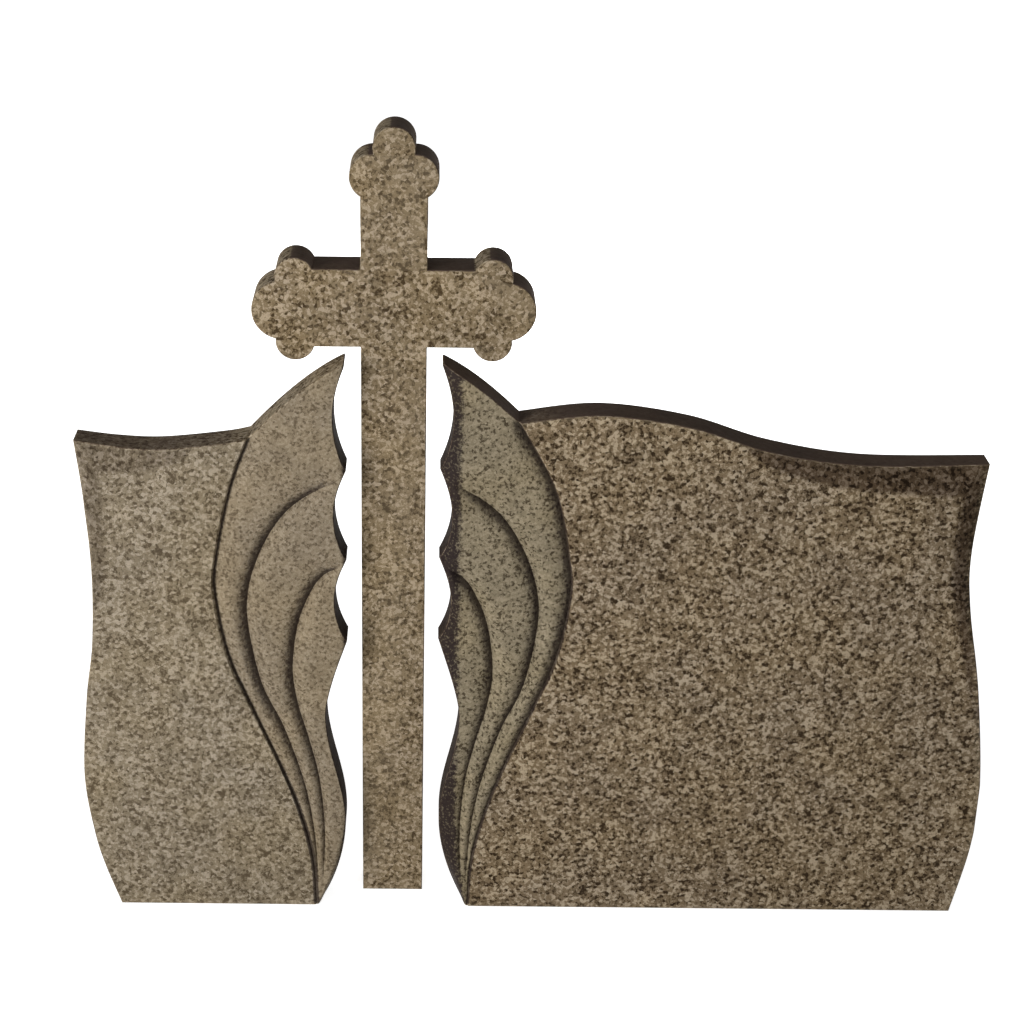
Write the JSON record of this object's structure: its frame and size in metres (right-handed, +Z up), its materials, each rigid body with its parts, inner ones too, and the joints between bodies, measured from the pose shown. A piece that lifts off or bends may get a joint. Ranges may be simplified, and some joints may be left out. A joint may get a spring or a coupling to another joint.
{
  "type": "three-piece winged headstone with budded cross",
  "caption": "Upright granite memorial: a tall budded cross with a plain shaft stands between two wing-carved tablets, one narrow and one wide, each on its own flat foot.",
  "frame": {"origin": "on the ground, at the middle of the whole group's width and depth", "axes": "+Z up, +X to the right along the row of stones, the carved fronts face -Y"},
  "size_m": [1.52, 0.12, 1.3639],
  "materials": {
    "left_tablet": "speckled granite, polished faces and edges, honed wing",
    "cross": "speckled granite, polished",
    "right_tablet": "speckled granite, polished faces and edges, honed wing"
  },
  "bodies": {
    "root": {"left_tablet": "left_tablet", "cross": "cross", "right_tablet": "right_tablet"}
  },
  "joints": []
}
